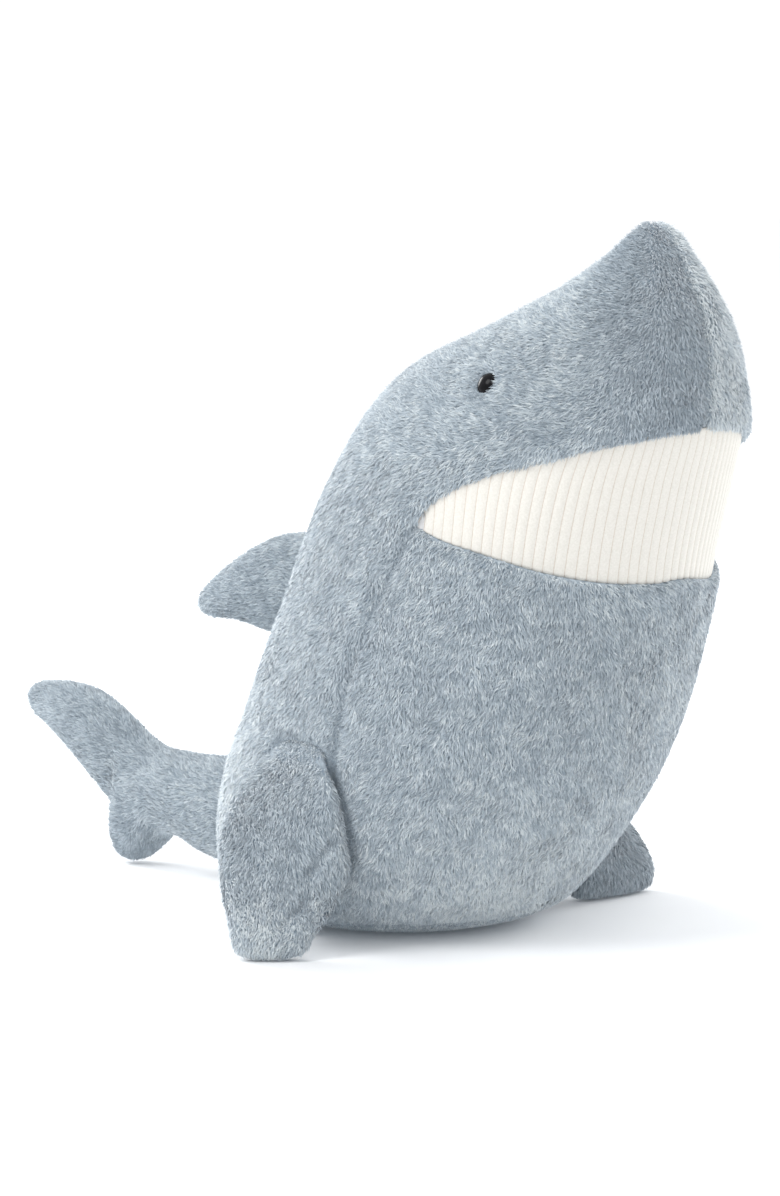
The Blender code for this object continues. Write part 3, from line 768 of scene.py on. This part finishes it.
def build_belly():
    """The bib from the lower lip down to the sole, between the side seams."""
    seam = along_seam(SIDE_SEAM, 90)
    share = ((seam[:, 1] - seam[0, 1]) / (seam[-1, 1] - seam[0, 1]))[:, None]
    # The grid is finer near its seams
    across = np.linspace(-1, 1, 151)
    across = across + 0.06 * np.sin(np.pi * across)
    angle = across * seam[:, :1]
    up = seam[0, 1] + share * (lip_up(LOWER_LIP, across * seam[-1, 0]) - seam[0, 1])
    return body_cover(up, angle, 0)


# ---------------------------------------------------------------- stage


# Half the floor's width
FLOOR_REACH = 4000
# Area lights: place in metres and power in watts. All are discs of one size, aimed at the shark.
LIGHTS = {"key": ((-1.3, 0.2, 1.5), 14), "side": ((1.6, -0.1, 0.6), 14), "rim": ((-0.1, 1.6, 0.7), 24)}
LIGHT_SIZE_M, LIGHT_TARGET_M = 0.9, (0, 0, 0.12)
WORLD_STRENGTH = 1.1


def add_stage():
    corners = ((-1, -1), (1, -1), (1, 1), (-1, 1))
    floor_points = [(x * FLOOR_REACH, y * FLOOR_REACH, 0) for x, y in corners]
    paper = mottled("white_paper", ((0.86, 0.87, 0.885), (0.87, 0.88, 0.89)), 40, 0.8)
    glow = paper.node_tree.nodes["Principled BSDF"].inputs
    glow["Emission Color"].default_value = (0.80, 0.90, 1, 1)
    glow["Emission Strength"].default_value = 0.06
    floor = new_object("floor", floor_points, [(0, 1, 2, 3)], paper)


def add_light():
    world = bpy.data.worlds.new("studio")
    world.use_nodes = True
    background = world.node_tree.nodes["Background"].inputs
    background["Color"].default_value = (1, 1, 1, 1)
    background["Strength"].default_value = WORLD_STRENGTH
    bpy.context.scene.world = world
    for name, (place, power) in LIGHTS.items():
        light = bpy.data.lights.new(name, "AREA")
        light.shape = "DISK"
        light.size = LIGHT_SIZE_M
        light.energy = power
        obj = bpy.data.objects.new(name, light)
        obj.location = place
        aim = Vector(LIGHT_TARGET_M) - Vector(place)
        obj.rotation_euler = aim.to_track_quat("-Z", "Y").to_euler()
        bpy.context.scene.collection.objects.link(obj)


VIEW_AZIMUTH, VIEW_ELEVATION, VIEW_DISTANCE_M = -43, 7, 2.0
VIEW_TARGET_M = (0, 0.043, 0.121)
VIEW_HEIGHT_M = 0.4545


def add_camera():
    azimuth, elevation = math.radians(VIEW_AZIMUTH), math.radians(VIEW_ELEVATION)
    level = math.cos(elevation)
    back = Vector((math.sin(azimuth) * level, -math.cos(azimuth) * level, math.sin(elevation)))
    data = bpy.data.cameras.new("camera")
    data.lens = data.sensor_width * VIEW_DISTANCE_M / VIEW_HEIGHT_M
    camera = bpy.data.objects.new("camera", data)
    camera.location = Vector(VIEW_TARGET_M) + back * VIEW_DISTANCE_M
    camera.rotation_euler = (-back).to_track_quat("-Z", "Y").to_euler()
    bpy.context.scene.collection.objects.link(camera)
    bpy.context.scene.camera = camera


# ---------------------------------------------------------------- the shark


def ride_body(obj):
    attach(obj, "body")


def thicken(obj, thickness):
    """Gives a cloth its thickness, inwards."""
    cloth = obj.modifiers.new("cloth", "SOLIDIFY")
    cloth.thickness = thickness * MM
    cloth.offset = -1


def add_body():
    covers = {
        "back_right": (build_back(-1), "back_panel_right"),
        "back_left": (build_back(1), "back_panel_left"),
        "belly": (build_belly(), "belly_panel"),
        "sole": (build_sole(), "base_panel"),
    }
    for name, (cover, cad_node) in covers.items():
        obj = new_object(name + "_cover", cover["points"], cover["faces"].tolist(), COVER_CLOTH)
        thicken(obj, CLOTH)
        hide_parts(cad_node)
        ride_body(obj)
        pile_objects(name, cover, ride_body)


def build_sole():
    """The flat oval sole with its turned-up edge."""
    turn = np.linspace(0, 360, 121)
    rows = 7
    side = body_cover(np.linspace(0.6, up_at(BASE_SEAM), rows)[:, None], turn[None, :] - 180.001, 0)
    edge = side["points"].reshape(rows, len(turn), 3)
    centre = np.array((0, -BODY[0, WIDEST], SOLE_HEIGHT))
    flat = [centre + (edge[0] - centre) * s for s in np.linspace(0.01, 0.96, 24)]
    points = np.vstack([*flat, *edge])
    faces = grid_faces(len(flat) + rows, len(turn))
    out = np.repeat([(0.0, 0.0, -1.0)], len(points), axis=0)
    faces = facing_out(points, faces, out)
    nap = np.repeat([(0.0, 1.0, 0.0)], len(points), axis=0)
    return {
        "points": points,
        "faces": faces,
        "normals": vertex_normals(points, faces),
        "nap": nap,
        "seam": np.zeros(len(points)),
        "length": sole_length,
    }


def sole_length(place):
    """The sole's pile is pressed flat."""
    return np.full(len(place), 0.25)


def add_mouth():
    """Ribbed cloth between the lips, set back below the fur. Its ribs run up and down."""
    wide = np.linspace(-1, 1, 2001) * (MOUTH_CORNER[0] - 0.5)
    middle = (lip_up(LOWER_LIP, wide) + lip_up(UPPER_LIP, wide)) / 2
    travel = lengths(surface(middle, wide))
    ribs = int(travel[-1] / RIB_PITCH)
    columns = ribs * RIB_STEPS + 1
    at = travel[-1] / 2 + (np.arange(columns) - (columns - 1) / 2) * RIB_PITCH / RIB_STEPS
    angle = np.interp(at, travel, wide)
    mouth_height = lip_up(UPPER_LIP, angle) - lip_up(LOWER_LIP, angle)
    lean = np.interp(angle, *np.transpose(RIB_LEAN)) * mouth_height
    share = np.linspace(0, 1, MOUTH_ROWS)[:, None]
    most = MOUTH_CORNER[0] - 0.1
    angle = np.clip(angle + lean * (share - 0.5), -most, most)
    low, high = lip_up(LOWER_LIP, angle), lip_up(UPPER_LIP, angle)
    flat, normal, _, _ = body_frame(low + share * (high - low), angle)
    phase = (np.arange(columns) - 0.5) % RIB_STEPS / RIB_STEPS
    crown = np.sqrt(np.sin(np.pi * phase))
    points = flat - normal * (MOUTH_DEPTH - RIB_HEIGHT * crown)[None, :, None]
    points, normal = points.reshape(-1, 3), normal.reshape(-1, 3)
    faces = facing_out(points, grid_faces(MOUTH_ROWS, columns), normal)
    obj = new_object("mouth_cloth", points, faces.tolist(), RIB_CLOTH)
    # The groove between each pair of ribs takes the darker colour of painted shade
    obj.data.materials.append(GROOVE_PAINTED_SHADE)
    column = np.arange(columns - 1) % RIB_STEPS
    groove = np.tile(column == 0, MOUTH_ROWS - 1)
    obj.data.polygons.foreach_set("material_index", groove.astype(np.int32))
    thicken(obj, MOUTH_CLOTH)
    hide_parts("mouth_panel")
    ride_body(obj)


def turned(name, profile, place, steps=48):
    """A profile of (radius, depth) turned round an axis that points out of the body."""
    turn = np.linspace(0, 2 * np.pi, steps, endpoint=False)
    rings = [np.column_stack([r * np.cos(turn), r * np.sin(turn), np.full(steps, -d)]) for r, d in profile]
    faces = grid_faces(len(profile), steps, wrap=True)[:, ::-1]
    obj = new_object(name, np.vstack(rings), faces.tolist(), BEAD)
    obj.matrix_world = place
    return obj


def add_eyes():
    for side_name, (point, normal) in EYES.items():
        turn = Vector(normal).to_track_quat("Z", "Y").to_matrix().to_4x4()
        bend = np.radians(np.linspace(2, 90, 14))
        dome = list(zip(BEAD_RADIUS * np.sin(bend), BEAD_SEAT - BEAD_DOME * np.cos(bend)))
        edge = [(BEAD_RADIUS * 0.96, BEAD_SEAT + 0.4), (BEAD_RADIUS * 0.8, BEAD_SEAT + 0.7)]
        shank = [(SHANK_RADIUS, BEAD_SEAT + 0.8), (SHANK_RADIUS, SHANK_END), (0.1, SHANK_END + 0.2)]
        bead = turned(f"eye_bead_{side_name}", dome + edge + shank, Matrix.Translation(point * MM) @ turn)
        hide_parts(f"eye_{side_name}")
        ride_body(bead)


# ---------------------------------------------------------------- stuffed fins and tail


def inflate(obj, sewn, most):
    """Swells a cover as its filling does, keeps its sewn points, and caps how far any point moves."""
    start = np.array([v.co for v in obj.data.vertices])
    group = obj.vertex_groups.new(name="sewn")
    group.add(sewn.tolist(), 1.0, "REPLACE")
    cloth = obj.modifiers.new("swell", "CLOTH")
    cloth.settings.quality = 6
    cloth.settings.mass = 0.2
    cloth.settings.tension_stiffness = 12
    cloth.settings.compression_stiffness = 12
    cloth.settings.bending_stiffness = 0.3
    cloth.settings.vertex_group_mass = "sewn"
    cloth.settings.use_pressure = True
    cloth.settings.uniform_pressure_force = 4
    cloth.settings.effector_weights.gravity = 0
    for number in range(1, SWELL_FRAMES + 1):
        bpy.context.scene.frame_set(number)
    graph = bpy.context.evaluated_depsgraph_get()
    swollen = np.array([v.co for v in obj.evaluated_get(graph).data.vertices])
    obj.modifiers.remove(cloth)
    obj.vertex_groups.remove(group)
    bpy.context.scene.frame_set(1)
    moved = swollen - start
    size = np.linalg.norm(moved, axis=1, keepdims=True)
    return start + moved * np.minimum(1, most * MM / np.maximum(size, 1e-9))


def fin_pile_length(place):
    """Share of the full pile length on a stuffed part: shorter where it touches floor or body."""
    out = outside_body(place)
    return np.where(out < -3, 0, floor_trim(place, 5) * (0.55 + 0.45 * ramp(0, 3, out)))


def from_crease(points, crease):
    """Distance from each point to a crease of the right pectoral fin."""
    start, end = (np.array((-out, -ahead, height)) for out, ahead, height in (crease[0:3], crease[3:6]))
    share = np.clip((points - start) @ (end - start) / ((end - start) @ (end - start)), 0, 1)
    return np.linalg.norm(points - start - share[:, None] * (end - start), axis=1)


def add_stuffed(name, table, inside, axis, grid_size, blunt, nodes):
    """A stuffed part: its sewn cover, swollen by its filling, and the pile on it.

    The table gives the chords of the cover, and inside those of the filling.
    """
    rows, columns = grid_size
    points, ring_count = stuffed_grid(table, axis, rows, columns, blunt, FIN_INSET)
    inner, _ = stuffed_grid(inside, axis, rows, columns, blunt, FILLING_INSET)
    faces = grid_faces(ring_count, columns, wrap=True)
    grid = points.reshape(ring_count, columns, 3)
    centres = np.repeat(grid.mean(axis=1), columns, axis=0)
    faces = facing_out(points, faces, points - centres)
    obj = new_object(name + "_cover", points, faces.tolist(), COVER_CLOTH)
    index = np.arange(len(points)).reshape(ring_count, columns)
    sewn = np.concatenate([index[:, 0], index[:, columns // 2], index[:3].ravel(), index[-2:].ravel()])
    points = inflate(obj, np.unique(sewn), SWELL) / MM
    # The creases are pressed in, and their pile is painted darker, as painted shade, and made shorter
    creased = np.zeros(len(points))
    for crease in CREASES:
        near = np.exp(-((from_crease(points, crease) / CREASE_SPREAD) ** 2))
        points = points - vertex_normals(points, faces) * (near * crease[6])[:, None]
        creased += near
    obj.data.vertices.foreach_set("co", (points * MM).astype(np.float32).ravel())
    obj.data.update()
    lie = np.gradient(points.reshape(ring_count, columns, 3), axis=0).reshape(-1, 3)
    ring_share = np.repeat(np.linspace(0, 1, ring_count), columns)
    # Painted shade, and shorter pile, along the line where the part meets the body
    root = ROOT_SHADE_AND_TRIM * (1 - ramp(*ROOT_REACH, outside_body(points)))
    cover = {
        "points": points,
        "faces": faces,
        "normals": vertex_normals(points, faces),
        "nap": unit(lie),
        "seam": creased + root * (ring_share > ROOT_SHARE),
        "length": fin_pile_length,
    }

    def finish(piece):
        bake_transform(piece)

    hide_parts(*nodes)
    finish(obj)
    filling = new_object(name + "_filling", inner, faces.tolist(), FIBRE)
    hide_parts(name + "_stuffing")
    finish(filling)
    pile_objects(name, cover, finish)


def add_fins():
    for side_name, side, fin in (("right", -1, PECTORAL_FIN), ("left", 1, SUNK_FIN)):
        table = hanging_rows(fin, side)
        bend = [(side * out, 0, height) for out, height in PECTORAL_BEND]
        name = f"pectoral_fin_{side_name}"
        nodes = (name + "_outer", name + "_inner")
        add_stuffed(name, table, table[2:-1], (0, 0, side), (64, 72), PECTORAL_BLUNT, nodes)
    for name, table, inside, grid_size, bend, fill in (
        ("dorsal_fin", DORSAL_FIN, DORSAL_FIN[2:-1], (50, 48), DORSAL_BEND, 0.7),
        ("tail", TAIL, TAIL_FILLING, (84, 52), TAIL_BEND, 0.75),
    ):
        chords, filling_chords = flat_rows(table), flat_rows(inside)
        nodes = (name + "_left", name + "_right")
        add_stuffed(name, chords, filling_chords, (0, 1, 0), grid_size, FLAT_BLUNT, nodes)


def finish_inner_nodes():
    """Gives the CAD nodes that stay inside the covers their own materials."""
    looks = {"stuffing": FIBRE, "washer": WASHER, "pouch": POUCH, "fill": BEANS}
    for name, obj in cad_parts.items():
        for word, material in looks.items():
            if word in name:
                obj.data.materials.clear()
                obj.data.materials.append(material)


add_body()
add_mouth()
add_eyes()
add_fins()
finish_inner_nodes()
add_stage()
add_light()
add_camera()
bpy.context.scene.view_settings.view_transform = "Standard"
